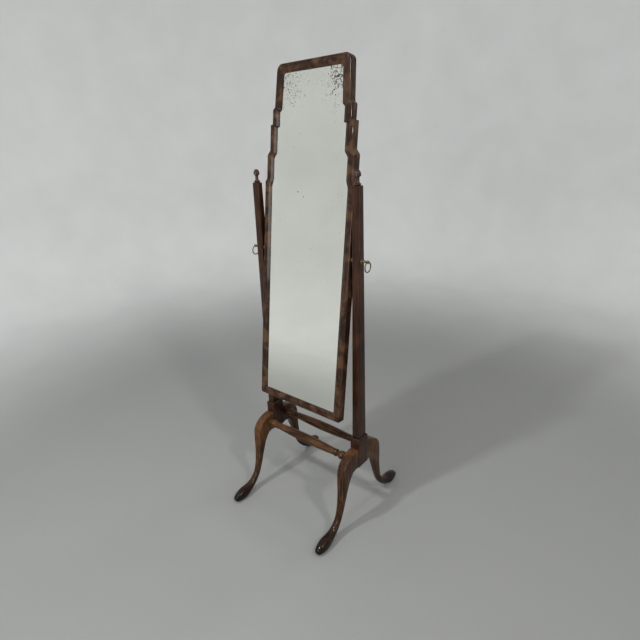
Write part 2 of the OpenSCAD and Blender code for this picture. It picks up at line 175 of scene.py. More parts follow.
# %% Floor and lights
COVE_FLOOR_R = 3.0
COVE_BEND_R = 0.9
COVE_TOP = 3.6
COVE_BEND_STEPS = 9
PAINT_STARTS, PAINT_ENDS = 1.4, COVE_FLOOR_R + 0.8
FLOOR_COLOUR = (0.26, 0.265, 0.26)
WALL_COLOUR = (0.76, 0.77, 0.765)
LIGHTS = {  # place, what it faces, size, power, colour
    "window": ((2.3, -0.7, 2.7), (0, 0, 0.8), 0.25, 30, (1.0, 0.98, 0.95)),
    "ceiling": ((-0.5, -1.9, 3.1), (0, 0, 0.6), 0.18, 46, (0.97, 0.98, 1.0)),
    "doorway": ((0.35, -2.6, 1.4), (0.1, 0, 1.0), 1.2, 26, (1.0, 0.99, 0.97)),
    "wall_wash": ((-0.9, -1.0, 3.2), (-2.5, -3.0, 1.6), 0.8, 15, (1.0, 1.0, 1.0)),
    "edge": ((0.6, 2.2, 2.8), (0, 0, 0.9), 0.6, 12, (1.0, 0.98, 0.96)),
}
ROOM_LIGHT = (0.46, 0.465, 0.46)


def pale_cove():
    """The floor, whose edge is extruded outwards and up into a round wall."""
    finish, shader = new_finish("pale_cove")
    place = add(finish, "TexCoord").outputs["Object"]
    mottle = noise(finish, place, 3.0, 4.0)
    away = add(finish, "VectorMath", {0: place}, operation="LENGTH").outputs["Value"]
    climb = add(finish, "MapRange", {"Value": away, "From Min": PAINT_STARTS,
                                     "From Max": PAINT_ENDS},
                interpolation_type="SMOOTHSTEP").outputs["Result"]
    paint = ramp(finish, climb, [(0.0, FLOOR_COLOUR), (1.0, WALL_COLOUR)])
    mottled = mix(finish, ramp(finish, mottle, [(0.3, 0.0), (0.7, 0.08)]), paint, (0.2, 0.2, 0.2))
    wire(finish, mottled, shader, "Base Color")
    shader.inputs["Roughness"].default_value = 0.7
    bpy.ops.object.select_all(action="DESELECT")
    bpy.ops.mesh.primitive_circle_add(vertices=96, radius=COVE_FLOOR_R, fill_type="NGON",
                                      location=(0, 0, -0.5 * MM))
    sheet = bpy.context.object
    sheet.name = "floor"
    bpy.ops.object.mode_set(mode="EDIT")
    bpy.ops.mesh.select_all(action="SELECT")
    reach, height = COVE_FLOOR_R, 0.0
    for step in range(1, COVE_BEND_STEPS + 1):
        turn = math.radians(90 / COVE_BEND_STEPS * step)
        out = COVE_FLOOR_R + COVE_BEND_R * math.sin(turn)
        up = COVE_BEND_R * (1 - math.cos(turn))
        bpy.ops.mesh.extrude_edges_move(TRANSFORM_OT_translate={"value": (0, 0, up - height)})
        bpy.ops.transform.resize(value=(out / reach, out / reach, 1), center_override=(0, 0, 0))
        reach, height = out, up
    bpy.ops.mesh.extrude_edges_move(TRANSFORM_OT_translate={"value": (0, 0, COVE_TOP - height)})
    bpy.ops.object.mode_set(mode="OBJECT")
    bpy.ops.object.shade_smooth()
    sheet.data.materials.append(finish)


def area_light(name, place, target, size, power, colour):
    """A soft square light that faces a point."""
    lamp = bpy.data.lights.new(name, "AREA")
    lamp.size = size
    lamp.energy = power
    lamp.color = colour
    light = bpy.data.objects.new(name, lamp)
    light.location = place
    light.rotation_euler = (Vector(target) - Vector(place)).to_track_quat("-Z", "Y").to_euler()
    bpy.context.scene.collection.objects.link(light)
    return light


pale_cove()
for name, facts in LIGHTS.items():
    light = area_light(name, *facts)
    light.visible_camera = False
    light.visible_glossy = name not in ("edge", "wall_wash")
world = bpy.data.worlds.new("room")
world.use_nodes = True
world.node_tree.nodes["Background"].inputs["Color"].default_value = (*ROOM_LIGHT, 1)
bpy.context.scene.world = world
bpy.context.scene.view_settings.view_transform = "Standard"

# %% [markdown]
# ## Finishes
# ### Polished walnut
# Old walnut is streaked along the grain, clouded across it, pricked with dark pores
# and worn pale where hands and dusters rub the edges. The streaks and the clouds are
# noise that is stretched along the grain. The wear finds the edges by comparing the
# surface with a rounded copy of itself. The hollows are darkened by how enclosed a spot
# is: painted shade, along with the dark wax that gathers there. The feet are darkened
# near the floor. The polish is a thin clear coat over a slightly uneven sheen.

# %% Walnut
TILT = math.radians(7.8)
LEAN_BACK = Matrix.Rotation(-TILT, 4, "X")
GRAIN_STRETCH = {"X": (0.03, 1, 1), "Y": (1, 0.03, 1), "Z": (1, 1, 0.03)}
STREAKS, PORES = 260.0, 1500.0
GRAIN_BEND = 0.02
HOLLOW_REACH, WEAR_REACH = 5 * MM, 2.5 * MM
DARKER_BELOW, DARKER_UP_TO = 0.02, 0.12


def edge_wear(finish, reach):
    """How sharply the surface turns nearby: 0 on flats, towards 1 on edges."""
    round_normal = add(finish, "Bevel", {"Radius": reach}, samples=4).outputs["Normal"]
    normal = add(finish, "NewGeometry").outputs["Normal"]
    same = add(finish, "VectorMath", {0: round_normal, 1: normal}, operation="DOT_PRODUCT")
    return sums(finish, "SUBTRACT", 1.0, same.outputs["Value"])


def walnut(name, along, deep, mid, pale, cloud=0.5, cloud_scale=9.0, coat=0.3, lean=0.0,
           dark_foot=0.0):
    """Walnut, with its grain along an axis, from its deep to its pale colour."""
    finish, shader = new_finish(name)
    upright = add(finish, "TexCoord").outputs["Object"]
    place = add(finish, "VectorRotate", {"Vector": upright, "Angle": lean},
                rotation_type="X_AXIS").outputs["Vector"]
    bent = wander(finish, place, 4.0, 2.0, GRAIN_BEND)
    grain = add(finish, "Mapping", {"Vector": bent,
                                    "Scale": GRAIN_STRETCH[along]}).outputs["Vector"]
    streaks = noise(finish, grain, STREAKS, 7.0, Roughness=0.68)
    clouds = noise(finish, bent, cloud_scale, 5.0, Distortion=0.6)
    pores = noise(finish, grain, PORES, 2.0)
    streaked = ramp(finish, streaks, [(0.36, deep), (0.50, mid), (0.64, pale)])
    clouded = ramp(finish, clouds, [(0.38, deep), (0.50, mid), (0.62, pale)])
    body = mix(finish, cloud, streaked, clouded)
    pricked = mix(finish, ramp(finish, pores, [(0.30, 0.55), (0.42, 0.0)]), body,
                  tuple(0.4 * c for c in deep))
    # Painted shade with dark wax: the hollows are darkened by how enclosed a spot is.
    hollow = add(finish, "AmbientOcclusion", {"Distance": HOLLOW_REACH}, samples=4).outputs["AO"]
    worn = sums(finish, "MULTIPLY", edge_wear(finish, WEAR_REACH),
                ramp(finish, clouds, [(0.35, 0.2), (0.65, 1.0)]))
    rubbed = mix(finish, sums(finish, "MULTIPLY", worn, 0.5), pricked,
                 tuple(1.6 * c for c in pale))
    # The feet grow darker towards the floor.
    above_floor = add(finish, "SeparateXYZ", {"Vector": upright}).outputs["Z"]
    darker_near_floor = add(finish, "MapRange", {"Value": above_floor, "From Min": DARKER_BELOW,
                                      "From Max": DARKER_UP_TO,
                                      "To Min": dark_foot, "To Max": 0.0}).outputs["Result"]
    # The dark tone for the painted shade and wax in the hollows, and for the feet near the floor.
    darkening_tone = tuple(0.35 * c for c in deep)
    shaded_and_waxed = mix(finish, ramp(finish, hollow, [(0.35, 0.85), (0.85, 0.0)]), rubbed, darkening_tone)
    wire(finish, mix(finish, darker_near_floor, shaded_and_waxed, darkening_tone), shader, "Base Color")
    wire(finish, ramp(finish, clouds, [(0.3, 0.26), (0.7, 0.40)]), shader, "Roughness")
    relief = sums(finish, "ADD", sums(finish, "MULTIPLY", pores, 0.6), streaks)
    emboss(finish, shader, relief, 0.10, 0.4 * MM)
    shader.inputs["Specular IOR Level"].default_value = 0.08
    shader.inputs["Coat Weight"].default_value = coat
    shader.inputs["Coat Roughness"].default_value = 0.07
    return finish


POST_TONES = ((0.006, 0.002, 0.0012), (0.026, 0.009, 0.0042), (0.070, 0.028, 0.012))
LEG_TONES = ((0.006, 0.0022, 0.0008), (0.037, 0.0145, 0.0045), (0.150, 0.068, 0.024))
FRAME_TONES = ((0.005, 0.002, 0.0012), (0.024, 0.0105, 0.005), (0.096, 0.048, 0.021))

post_walnut = walnut("walnut_posts", "Z", *POST_TONES, cloud=0.35)
leg_walnut = walnut("walnut_legs", "Z", *LEG_TONES, cloud=0.35, dark_foot=0.93)
rail_walnut = walnut("walnut_stretchers", "X", *LEG_TONES, cloud=0.3)
stile_walnut = walnut("walnut_frame_upright", "Z", *FRAME_TONES, cloud=0.6, cloud_scale=26.0,
                      lean=TILT)
cross_walnut = walnut("walnut_frame_level", "X", *FRAME_TONES, cloud=0.6, cloud_scale=26.0)
finial_walnut = walnut("dark_walnut", "Z", *POST_TONES, cloud=0.5, coat=0.6)
print("walnut finishes", len([m for m in bpy.data.materials if "walnut" in m.name]))

# %% [markdown]
# ### Aged brass
# The swing fittings are cast brass that has gone brown in its hollows and stays
# bright where it is handled. The same edge finder brightens the rims.

# %% Brass
def aged_brass():
    finish, shader = new_finish("aged_brass")
    place = add(finish, "TexCoord").outputs["Object"]
    stain = noise(finish, place, 160.0, 6.0)
    skin = ramp(finish, stain, [(0.32, (0.05, 0.035, 0.018)), (0.5, (0.16, 0.115, 0.05)),
                                (0.72, (0.33, 0.25, 0.11))])
    bright = mix(finish, sums(finish, "MULTIPLY", edge_wear(finish, 0.8 * MM), 1.4), skin,
                 (0.62, 0.48, 0.22))
    wire(finish, bright, shader, "Base Color")
    wire(finish, ramp(finish, stain, [(0.3, 0.55), (0.7, 0.30)]), shader, "Roughness")
    emboss(finish, shader, stain, 0.15, 0.2 * MM)
    shader.inputs["Metallic"].default_value = 0.9
    return finish


brass = aged_brass()
print("brass", len(brass.node_tree.nodes), "nodes")

# %% [markdown]
# ### Old silvered glass
# An old looking glass is a sheet of faintly green, slightly uneven plate with silver
# on its back. Damp eats the silver from the edges inwards, so it is speckled near the
# top corners. The silver is a smooth metal, and each speck is a patch where the metal
# gives way to a dark brown backing. Fine and coarse specks are cut from cells, and a
# falloff gathers them about the two top corners. A few strays lie lower down, and thin
# branching splits spread from one corner.

# %% Looking glass
def silvered_glass(pivot):
    finish, shader = new_finish("silvered_glass")
    upright = add(finish, "TexCoord").outputs["Object"]
    moved = add(finish, "VectorMath", {0: upright, 1: tuple(pivot)}, operation="SUBTRACT")
    place = add(finish, "VectorRotate", {"Vector": moved.outputs["Vector"], "Angle": TILT},
                rotation_type="X_AXIS").outputs["Vector"]

    def gather(centre, reach, most):
        """1 near a spot of the glass, fading to 0 at its reach."""
        away = add(finish, "VectorMath", {0: place, 1: centre}, operation="DISTANCE")
        near = add(finish, "MapRange", {"Value": away.outputs["Value"], "From Min": 0.0,
                                        "From Max": reach, "To Min": most, "To Max": 0.0})
        return near.outputs["Result"]

    def specks(scale, threshold, spread):
        """Round dark specks that grow and crowd as the spread rises."""
        bent = wander(finish, place, scale * 1.4, 3.0, 0.35 / scale)
        cells = add(finish, "TexVoronoi", {"Vector": bent, "Scale": scale, "Randomness": 1.0})
        chance = add(finish, "SeparateColor", {"Color": cells.outputs["Color"]}).outputs["Red"]
        size = sums(finish, "SUBTRACT", sums(finish, "MULTIPLY", spread, chance), threshold)
        inside = sums(finish, "SUBTRACT", size, cells.outputs["Distance"])
        solid = sums(finish, "MAXIMUM", sums(finish, "MULTIPLY", inside, 24.0), 0.0)
        return sums(finish, "SMOOTH_MIN", solid, 1.0, 0.02)

    def cracks(scale, width, near):
        """Thin branching lines where the silver has split, kept near one spot."""
        bent = wander(finish, place, 70.0, 3.0, 0.02)
        rim = add(finish, "TexVoronoi", {"Vector": bent, "Scale": scale},
                  feature="DISTANCE_TO_EDGE").outputs["Distance"]
        line = sums(finish, "SUBTRACT", width, rim)
        kept = sums(finish, "ADD", near, noise(finish, place, 60.0, 2.0))
        kept = sums(finish, "MULTIPLY", sums(finish, "SUBTRACT", kept, 1.0), 6.0)
        sharp = sums(finish, "MINIMUM", sums(finish, "MULTIPLY", line, 30.0), kept)
        return sums(finish, "MAXIMUM", sharp, 0.0)

    right = gather((0.095, 0, 0.530), 0.150, 0.66)
    left = gather((-0.100, 0, 0.550), 0.190, 0.68)
    corners = sums(finish, "ADD", sums(finish, "MAXIMUM", right, left), 0.10)
    fine = specks(380.0, 0.20, corners)
    coarse = specks(150.0, 0.20, corners)
    stray = specks(75.0, 0.37, gather((0, 0, 0.2), 1.6, 0.58))
    split = cracks(62.0, 0.085, gather((0.112, 0, 0.560), 0.088, 1.15))
    gathered, scattered = sums(finish, "ADD", fine, coarse), sums(finish, "ADD", stray, split)
    gone = sums(finish, "MINIMUM", sums(finish, "ADD", gathered, scattered), 1.0)
    haze = noise(finish, place, 5.0, 3.0)
    silver = ramp(finish, haze, [(0.3, (0.88, 0.905, 0.84)), (0.7, (0.92, 0.935, 0.88))])
    wire(finish, mix(finish, gone, silver, (0.020, 0.014, 0.010)), shader, "Base Color")
    wire(finish, sums(finish, "SUBTRACT", 1.0, gone), shader, "Metallic")
    wire(finish, ramp(finish, gone, [(0.0, 0.03), (1.0, 0.35)]), shader, "Roughness")
    emboss(finish, shader, noise(finish, place, 2.2, 1.0), 0.2, 2.0 * MM)
    return finish


PIVOT = Vector(next(j["pos_m"] for j in frame["joints"] if j["name"] == "mirror_tilt"))
glass = silvered_glass(PIVOT)
print("looking glass", len(glass.node_tree.nodes), "nodes, leaning", round(math.degrees(TILT), 1))

# %% [markdown]
# ### Bare wood and leather
# The back of the mirror is never polished. Its board is thin old plywood, grey with
# dust, and its blocks and dowels are plain beech, which is flecked along the grain. The
# washers are pressed leather, a fine network of pebbles.

# %% Bare wood and leather
def bare_wood(name, along, dark, pale, stretch=90.0):
    """Dry unpolished wood with long streaks, and dust that lies in clouds."""
    finish, shader = new_finish(name)
    place = add(finish, "TexCoord").outputs["Object"]
    grain = add(finish, "Mapping", {"Vector": place,
                                    "Scale": GRAIN_STRETCH[along]}).outputs["Vector"]
    streaks = noise(finish, grain, stretch, 7.0, Distortion=0.8)
    dust = noise(finish, place, 6.0, 5.0)
    streaked = ramp(finish, streaks, [(0.3, dark), (0.7, pale)])
    dusty = mix(finish, ramp(finish, dust, [(0.4, 0.0), (0.75, 0.5)]), streaked,
                (0.36, 0.32, 0.27))
    wire(finish, dusty, shader, "Base Color")
    wire(finish, ramp(finish, streaks, [(0.3, 0.85), (0.7, 0.65)]), shader, "Roughness")
    emboss(finish, shader, streaks, 0.25, 0.4 * MM)
    return finish


def pressed_leather():
    finish, shader = new_finish("washer_leather")
    place = add(finish, "TexCoord").outputs["Object"]
    pebbles = add(finish, "TexVoronoi", {"Vector": place, "Scale": 900.0}).outputs["Distance"]
    wire(finish, ramp(finish, pebbles, [(0.1, (0.07, 0.035, 0.022)), (0.7, (0.025, 0.012, 0.008))]),
         shader, "Base Color")
    wire(finish, ramp(finish, pebbles, [(0.0, 0.5), (0.8, 0.8)]), shader, "Roughness")
    emboss(finish, shader, pebbles, 0.3, 0.2 * MM)
    return finish


plywood = bare_wood("back_plywood", "Z", (0.11, 0.062, 0.033), (0.26, 0.17, 0.10))
beech = bare_wood("beech", "Z", (0.30, 0.19, 0.11), (0.52, 0.37, 0.24), stretch=240.0)
leather = pressed_leather()
print("finishes", len(bpy.data.materials))

# %% [markdown]
# ## Making the shapes
# ### Drawing a skin ring by ring
# Carved and turned work has the same build: a ring of points that changes size and
# place as it travels along the piece. So a circle is added, laid on the first ring,
# and its edges are extruded again and again, with each new loop laid on the next ring.
# Both ends are then closed, or, for a frame that runs back into itself, the last loop
# is merged with the first.

# %% Drawing a skin
SMOOTH_BELOW = 38


def select_only(piece):
    """This piece selected and active, and nothing else."""
    bpy.ops.object.select_all(action="DESELECT")
    piece.select_set(True)
    bpy.context.view_layer.objects.active = piece


def begin_edit(piece):
    """Only this piece selected and in edit mode, with all of it selected."""
    select_only(piece)
    bpy.ops.object.mode_set(mode="EDIT")
    bpy.ops.mesh.select_all(action="SELECT")


def end_edit(piece, smooth_below=SMOOTH_BELOW):
    """Points the faces outwards, and shades them smooth where they meet gently."""
    bpy.ops.mesh.select_all(action="SELECT")
    bpy.ops.mesh.normals_make_consistent(inside=False)
    bpy.ops.object.mode_set(mode="OBJECT")
    bpy.ops.object.shade_smooth_by_angle(angle=math.radians(smooth_below))
    return piece


def drawn_skin(name, rings, endless=False):
    """A closed skin over rings of points, each with as many points as the first.

    An endless one has no ends to close, and its last ring lies on its first."""
    bpy.ops.object.select_all(action="DESELECT")
    bpy.ops.mesh.primitive_circle_add(vertices=len(rings[0]), fill_type="NOTHING")
    piece = bpy.context.object
    piece.name = name
    bpy.ops.object.mode_set(mode="EDIT")
    mesh = bmesh.from_edit_mesh(piece.data)
    seats = {}
    for seat, vertex in enumerate(mesh.verts):
        vertex.co = rings[0][seat]
        seats[vertex.index] = seat
    if not endless:
        bpy.ops.mesh.edge_face_add()
        cap = bmesh.from_edit_mesh(piece.data).faces
        cap.ensure_lookup_table()
        cap[0].select = False
        for edge in cap[0].edges:
            edge.select = True
    for ring in rings[1:]:
        bpy.ops.mesh.extrude_edges_move()
        mesh = bmesh.from_edit_mesh(piece.data)
        mesh.verts.index_update()
        grown = {}
        for vertex in (v for v in mesh.verts if v.select):
            older = next(e.other_vert(vertex) for e in vertex.link_edges if not e.select)
            grown[vertex.index] = seats[older.index]
            vertex.co = ring[seats[older.index]]
        seats = grown
    if not endless:
        bpy.ops.mesh.edge_face_add()
    bpy.ops.mesh.select_all(action="SELECT")
    bpy.ops.mesh.remove_doubles(threshold=1e-6)
    return end_edit(piece)


def smooth_rows(rows, spans):
    """More rows between the given ones, on the smooth curve through them all."""
    padded = [rows[0], *rows, rows[-1]]
    out = []
    for k in range(len(rows) - 1):
        a, b, c, d = (Vector(row) for row in padded[k:k + 4])
        for i in range(spans):
            t = i / spans
            out.append(0.5 * (2 * b + (c - a) * t + (2 * a - 5 * b + 4 * c - d) * t ** 2
                              + (3 * b - a - 3 * c + d) * t ** 3))
    return out + [Vector(rows[-1])]


def arc(centre, radius, start, end, steps=10):
    """Points along an arc, with its angles in degrees."""
    turns = [math.radians(start + (end - start) * i / steps) for i in range(steps + 1)]
    return [(centre[0] + radius * math.cos(a), centre[1] + radius * math.sin(a)) for a in turns]


def turned(name, profile, foot, along, sides=48):
    """Turned work: each (distance, radius) of the profile is a ring, in millimetres."""
    axis = Vector(along)
    side = Vector((0, 1, 0)) if abs(axis.y) < 0.5 else Vector((1, 0, 0))
    other = axis.cross(side)
    rings = []
    for distance, radius in profile:
        middle = Vector(foot) + axis * distance * MM
        turns = [2 * math.pi * i / sides for i in range(sides)]
        rings.append([middle + (side * math.cos(a) + other * math.sin(a)) * radius * MM
                      for a in turns])
    return drawn_skin(name, rings)


print("shapes are drawn in", 1 / MM, "millimetres to the metre")

# %% [markdown]
# ### Cutting, copying and mirroring
# Three more bench jobs repeat. A bore is a Boolean cut with a cylinder, which is then
# thrown away. A piece on the other side is a copy scaled by minus one, whose faces are
# turned out again. Pieces that make one part are joined.

# %% Bench jobs
def apply_modifier(piece, kind, **settings):
    """Adds a modifier to a piece and applies it."""
    select_only(piece)
    bpy.ops.object.modifier_add(type=kind)
    modifier = piece.modifiers[-1]
    for key, value in settings.items():
        setattr(modifier, key, value)
    bpy.ops.object.modifier_apply(modifier=modifier.name)


def cut_with(piece, cutter):
    """Takes the cutter's shape out of the piece."""
    apply_modifier(piece, "BOOLEAN", operation="DIFFERENCE", solver="EXACT", object=cutter)
    bpy.data.objects.remove(cutter)
    bpy.ops.object.shade_smooth_by_angle(angle=math.radians(SMOOTH_BELOW))


def bore(piece, middle, along, diameter, length):
    """A round hole through the piece, in millimetres, about a point in metres."""
    bpy.ops.object.select_all(action="DESELECT")
    turn = Vector(along).to_track_quat("Z", "Y").to_euler()
    bpy.ops.mesh.primitive_cylinder_add(vertices=48, radius=diameter / 2 * MM,
                                        depth=length * MM, location=middle, rotation=turn)
    cut_with(piece, bpy.context.object)


def settle(piece):
    """Puts the piece's place into its mesh, so that its object is at the origin."""
    select_only(piece)
    bpy.ops.object.transform_apply(location=True, rotation=True, scale=True)
    return piece


def copied(piece, name):
    """A copy of the piece with its own mesh."""
    copy = piece.copy()
    copy.data = piece.data.copy()
    copy.name = name
    bpy.context.scene.collection.objects.link(copy)
    return copy


def mirrored(piece, name, flip):
    """A copy scaled by the flip and turned right side out."""
    copy = copied(piece, name)
    copy.scale = flip
    settle(copy)
    begin_edit(copy)
    return end_edit(copy)


def joined(name, pieces):
    """Several solids as one piece."""
    bpy.ops.object.select_all(action="DESELECT")
    for piece in pieces:
        piece.select_set(True)
    bpy.context.view_layer.objects.active = pieces[0]
    bpy.ops.object.join()
    pieces[0].name = name
    return pieces[0]


def fit_piece(piece, node, body, finish):
    """Gives a finished piece its finish and its body, and hides the node that it stands for."""
    piece.data.materials.clear()
    piece.data.materials.append(finish)
    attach(piece, body)
    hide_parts(node)
    return piece


SIDES = {"left": -1, "right": 1}
print("bench jobs ready for", list(SIDES))

# %% [markdown]
# ### Posts
# Each post is a square batten that tapers in depth from its block to its top, with
# soft arrises and a tenon below. A cube is added at the size of the shaft, its top
# face is scaled to the taper, and a tenon is inset and extruded from its foot. The
# edges are bevelled, and the holes for the finial and the swing bush are bored.

# %% Posts
LEFT_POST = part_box("left_post")
LEFT_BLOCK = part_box("left_block")
POST_W = (LEFT_POST[1].x - LEFT_POST[0].x) / MM
POST_X = -(LEFT_POST[0].x + LEFT_POST[1].x) / 2 / MM
POST_TOP = LEFT_POST[1].z / MM
POST_FOOT_D = (LEFT_POST[1].y - LEFT_POST[0].y) / MM
POST_TOP_D = 20.0
BLOCK_TOP = LEFT_BLOCK[1].z / MM
TENON = (POST_W * 0.5, POST_FOOT_D * 0.6, BLOCK_TOP - LEFT_POST[0].z / MM)
BUSH_D = 13.0
SPIGOT_D = 8.0
SPIGOT_L = 16.0
ARRIS = 1.6
SHOULDER = 3.0


def pick_faces(piece, wanted):
    """In edit mode, selects just the faces whose centre and normal suit."""
    mesh = bmesh.from_edit_mesh(piece.data)
    bpy.ops.mesh.select_all(action="DESELECT")
    for face in mesh.faces:
        face.select = wanted(face.calc_center_median(), face.normal)
    mesh.select_flush(True)
    bmesh.update_edit_mesh(piece.data)


def post(name):
    """The right post, standing at its place."""
    high = POST_TOP - BLOCK_TOP
    bpy.ops.object.select_all(action="DESELECT")
    bpy.ops.mesh.primitive_cube_add(size=1, location=(POST_X * MM, 0, (BLOCK_TOP + high / 2) * MM))
    shaft = bpy.context.object
    shaft.name = name
    shaft.scale = (POST_W * MM, POST_FOOT_D * MM, high * MM)
    settle(shaft)
    begin_edit(shaft)
    middle = (POST_X * MM, 0, POST_TOP * MM)
    pick_faces(shaft, lambda centre, normal: normal.z > 0.9)
    bpy.ops.transform.resize(value=(1, POST_TOP_D / POST_FOOT_D, 1), center_override=middle)
    bpy.ops.object.mode_set(mode="OBJECT")
    apply_modifier(shaft, "BEVEL", width=ARRIS * MM, segments=4, limit_method="ANGLE")
    begin_edit(shaft)
    pick_faces(shaft, lambda centre, normal: normal.z < -0.99)
    bpy.ops.mesh.inset(thickness=SHOULDER * MM)
    to_tenon = (TENON[0] / (POST_W - 2 * SHOULDER), TENON[1] / (POST_FOOT_D - 2 * SHOULDER), 1)
    bpy.ops.transform.resize(value=to_tenon, center_override=(POST_X * MM, 0, BLOCK_TOP * MM))
    bpy.ops.mesh.extrude_region_move(TRANSFORM_OT_translate={"value": (0, 0, -TENON[2] * MM)})
    end_edit(shaft)
    bore(shaft, (POST_X * MM, 0, PIVOT.z), (1, 0, 0), BUSH_D, 2 * POST_W)
    bore(shaft, (POST_X * MM, 0, POST_TOP * MM), (0, 0, 1), SPIGOT_D, 2 * SPIGOT_L)
    return shaft


right_post = post("right_post_shaft")
left_post = mirrored(right_post, "left_post_shaft", (-1, 1, 1))
for side, piece in (("left", left_post), ("right", right_post)):
    fit_piece(piece, side + "_post", "stand", post_walnut)
    print(piece.name, len(piece.data.polygons), "faces")

# %% [markdown]
# ### Leg blocks
# A block is the squared foot of the stand that the post is tenoned into and the legs
# are dowelled to. It starts as a cube. Its top edges get a wide bevel, its other edges
# a fine one, and the mortise for the tenon is cut with a second cube.

# %% Leg blocks
BLOCK_BEVEL = 4.0
BLOCK_ARRIS = 0.9


def box_between(name, low, high):
    """A plain block of wood or a cutter between two corners, in metres."""
    bpy.ops.object.select_all(action="DESELECT")
    bpy.ops.mesh.primitive_cube_add(size=1, location=(Vector(low) + Vector(high)) / 2)
    made = bpy.context.object
    made.name = name
    made.scale = Vector(high) - Vector(low)
    return settle(made)


def leg_block(name):
    low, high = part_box("right_block")
    made = box_between(name, low, high)
    begin_edit(made)
    pick_faces(made, lambda centre, normal: normal.z > 0.9)
    bpy.ops.mesh.bevel(offset=BLOCK_BEVEL * MM, segments=1, affect="EDGES")
    end_edit(made)
    apply_modifier(made, "BEVEL", width=BLOCK_ARRIS * MM, segments=3, limit_method="ANGLE",
                   angle_limit=math.radians(30))
    mortise = ((POST_X - TENON[0] / 2) * MM, -TENON[1] / 2 * MM, (BLOCK_TOP - TENON[2]) * MM)
    reach = ((POST_X + TENON[0] / 2) * MM, TENON[1] / 2 * MM, (BLOCK_TOP + TENON[2]) * MM)
    cut_with(made, box_between("mortise", mortise, reach))
    return made


right_block = leg_block("right_leg_block")
left_block = mirrored(right_block, "left_leg_block", (-1, 1, 1))
for side, piece in (("left", left_block), ("right", right_block)):
    fit_piece(piece, side + "_block", "stand", post_walnut)
    print(piece.name, len(piece.data.polygons), "faces")

# %% [markdown]
# ### Cabriole legs
# A cabriole leg is sawn from a plank in an S and then carved: square where it meets the
# block, full at the knee, thin and nearly round at the ankle, and swelling again to a
# pad that ends in a pointed toe. It is described by stations along its line, each with
# a thickness, a width and how round it is, and the skin is drawn through them. The pad
# is sliced level where it stands on the floor. One leg is made and mirrored to four.

# %% Cabriole legs
LEG_STATIONS = [  # distance out, height, thickness, width, roundness
    (29.5, 283.0, 80.0, 36.0, 0.30), (58.6, 280.7, 76.8, 36.0, 0.30),
    (84.8, 263.2, 70.4, 36.0, 0.35), (99.8, 226.4, 48.0, 35.3, 0.45),
    (107.6, 189.6, 36.0, 33.1, 0.55), (116.1, 150.0, 29.6, 30.2, 0.70),
    (126.0, 110.1, 25.6, 27.4, 0.85), (139.8, 75.0, 23.2, 25.6, 0.90),
    (161.7, 48.1, 25.6, 27.4, 0.90), (190.3, 31.1, 34.4, 32.4, 0.90),
    (221.3, 22.4, 45.6, 36.0, 0.85), (246.5, 18.7, 39.2, 33.5, 0.85),
    (265.2, 15.3, 24.8, 24.5, 0.90), (271.9, 13.6, 7.2, 7.9, 0.90)]
LEG_SPANS = 5
CORNER_STEPS = 7


def leg_ring(row, run):
    """The rounded rectangle of one row, square to the leg's own line."""
    out, height, thick, wide, roundness = row
    half_w, half_t = wide / 2, thick / 2
    radius = roundness * min(half_w, half_t)
    normal = Vector((-run.y, run.x)).normalized()
    ring = []
    for quarter in range(4):
        across = 1 if quarter in (0, 3) else -1
        up = 1 if quarter < 2 else -1
        for x, t in arc(((half_w - radius) * across, (half_t - radius) * up), radius,
                        90 * quarter, 90 * quarter + 90, CORNER_STEPS):
            ring.append(Vector((POST_X + x, out + normal.x * t, height + normal.y * t)) * MM)
    return ring


def cabriole(name):
    """The back right leg."""
    rows = smooth_rows(LEG_STATIONS, LEG_SPANS)
    rings = []
    for k, row in enumerate(rows):
        after, before = rows[min(k + 1, len(rows) - 1)], rows[max(k - 1, 0)]
        run = Vector((1, 0)) if k == 0 else Vector((after[0] - before[0], after[1] - before[1]))
        rings.append(leg_ring(row, run))
    leg = drawn_skin(name, rings)
    begin_edit(leg)
    bpy.ops.mesh.bisect(plane_co=(0, 0, 0), plane_no=(0, 0, 1), clear_inner=True, use_fill=True,
                        threshold=1e-6)
    return end_edit(leg)


back_right = cabriole("back_right_cabriole")
legs = {"back_right": back_right}
for end, side, flip in (("front", "right", (1, -1, 1)), ("back", "left", (-1, 1, 1)),
                        ("front", "left", (-1, -1, 1))):
    legs[f"{end}_{side}"] = mirrored(back_right, f"{end}_{side}_cabriole", flip)
for place, piece in legs.items():
    fit_piece(piece, place + "_leg", "stand", leg_walnut)
print("legs", {p: len(leg.data.polygons) for p, leg in legs.items()})

# %% [markdown]
# ### Turned stretchers
# Two turned rails tie the stand together. Each swells in the middle, and near each end
# it has a bead, a hollow, a ball and a collar, then a peg that enters the leg. On a
# lathe that is a profile swept round an axis, so the profile is given from the leg's
# face inwards for one half, mirrored for the other, and drawn as rings.

# %% Turned stretchers
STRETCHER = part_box("front_stretcher")
STRETCHER_Y = -(STRETCHER[0].y + STRETCHER[1].y) / 2
STRETCHER_Z = (STRETCHER[0].z + STRETCHER[1].z) / 2
STRETCHER_R = (STRETCHER[1].y - STRETCHER[0].y) / 2 / MM
LEG_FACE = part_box("front_right_leg")[0].x / MM
PEG_L = STRETCHER[1].x / MM - LEG_FACE
PEG_R = 7.5
BALL_R = 17.0
THIN_R = 12.5
COLLAR_L = 5.0
BALL_AT = 23.8
BEAD_AT = 49.6
SWELL_FROM = 58.0
SWELL_STEPS = 16


